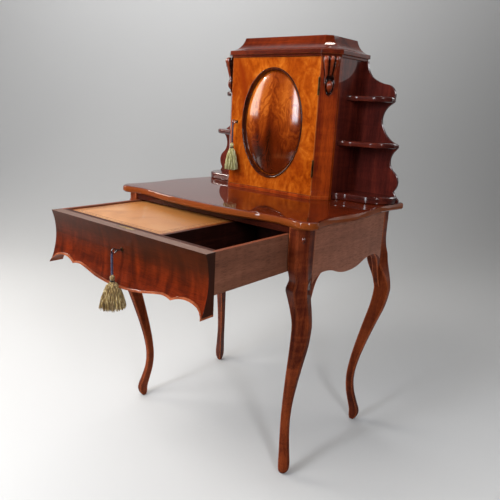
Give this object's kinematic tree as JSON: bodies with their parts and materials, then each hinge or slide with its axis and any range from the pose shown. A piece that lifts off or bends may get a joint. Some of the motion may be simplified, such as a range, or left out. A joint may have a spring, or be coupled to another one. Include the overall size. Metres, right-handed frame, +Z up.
{
  "type": "bonheur du jour",
  "caption": "Lady's writing table on cabriole legs: frieze drawer with a leather-lined writing slide, and above it a small cupboard with an oval-panelled door between open shelves.",
  "frame": {"origin": "on the floor under the middle of the whole piece, whose drawer stands open", "axes": "+X to the right, +Y to the back, +Z up; the drawer's and the door's fronts face -Y"},
  "size_m": [0.744, 0.8344, 1.207],
  "materials": {
    "mahogany": "gloss",
    "figured_veneer": "gloss",
    "drawer_lining": "matte",
    "leather": "satin",
    "brass": "satin",
    "steel": "polished",
    "cord": "matte",
    "gold_silk": "satin",
    "green_gold_silk": "satin"
  },
  "bodies": {
    "case": {"table_top": "mahogany", "leg_front_left": "mahogany", "leg_front_right": "mahogany", "leg_back_left": "mahogany", "leg_back_right": "mahogany", "side_apron_left": "mahogany", "side_apron_right": "mahogany", "back_apron": "mahogany", "front_top_rail": "mahogany", "drawer_runner_left": "drawer_lining", "drawer_runner_right": "drawer_lining", "drawer_kicker_left": "drawer_lining", "drawer_kicker_right": "drawer_lining", "base_board": "mahogany", "cupboard_bottom": "mahogany", "cupboard_top": "mahogany", "cupboard_side_left": "mahogany", "cupboard_side_right": "mahogany", "corner_stile_left": "mahogany", "corner_stile_right": "mahogany", "inner_shelf": "mahogany", "back_board": "mahogany", "base_shelf_left": "mahogany", "base_shelf_right": "mahogany", "middle_shelf_left": "mahogany", "middle_shelf_right": "mahogany", "upper_shelf_left": "mahogany", "upper_shelf_right": "mahogany", "cornice": "mahogany", "corbel_left": "mahogany", "corbel_right": "mahogany", "hinge_plates": "brass"},
    "drawer": {"drawer_front": "mahogany", "drawer_bead": "mahogany", "drawer_box_front": "drawer_lining", "drawer_side_left": "drawer_lining", "drawer_side_right": "drawer_lining", "drawer_back": "drawer_lining", "drawer_bottom": "drawer_lining", "drawer_divider": "drawer_lining", "slide_ledges": "drawer_lining", "drawer_lock": "brass", "drawer_escutcheon": "brass", "drawer_tassel_cord": "cord", "drawer_tassel": "gold_silk"},
    "writing_slide": {"writing_slide": "mahogany", "writing_leather": "leather"},
    "drawer_key": {"drawer_key": "steel"},
    "drawer_lock_bolt": {"drawer_lock_bolt": "brass"},
    "door": {"door_frame": "figured_veneer", "oval_moulding": "mahogany", "oval_panel": "figured_veneer", "door_lock": "brass", "door_escutcheon": "brass", "hinge_leaves": "brass", "door_tassel_cord": "cord", "door_tassel": "green_gold_silk"},
    "door_key": {"door_key": "steel"},
    "door_lock_bolt": {"door_lock_bolt": "brass"}
  },
  "joints": [
    {"name": "drawer_slide", "type": "slide", "parent": "case", "child": "drawer", "axis": [0, -1, 0], "range_m": [-0.291, 0.02]},
    {"name": "writing_slide_run", "type": "slide", "parent": "drawer", "child": "writing_slide", "axis": [0, 1, 0], "range_m": [0, 0.115]},
    {"name": "drawer_key_turn", "type": "hinge", "parent": "drawer", "child": "drawer_key", "pos_m": [0, -0.3796, 0.647], "axis": [0, 1, 0], "range_deg": [0, 180]},
    {"name": "drawer_bolt_run", "type": "slide", "parent": "drawer", "child": "drawer_lock_bolt", "axis": [0, 0, 1], "range_m": [0, 0.009]},
    {"name": "door_hinge", "type": "hinge", "parent": "case", "child": "door", "pos_m": [0.1645, 0.1891, 0.948], "axis": [0, 0, 1], "range_deg": [0, 110]},
    {"name": "door_key_turn", "type": "hinge", "parent": "door", "child": "door_key", "pos_m": [-0.14, 0.1868, 0.949], "axis": [0, 1, 0], "range_deg": [0, 180]},
    {"name": "door_bolt_run", "type": "slide", "parent": "door", "child": "door_lock_bolt", "axis": [-1, 0, 0], "range_m": [0, 0.008]}
  ],
  "couplings": [
    {"joint": "drawer_key_turn", "follows": "drawer_bolt_run", "rad_per_m": 349.07},
    {"joint": "door_key_turn", "follows": "door_bolt_run", "rad_per_m": 392.7}
  ]
}
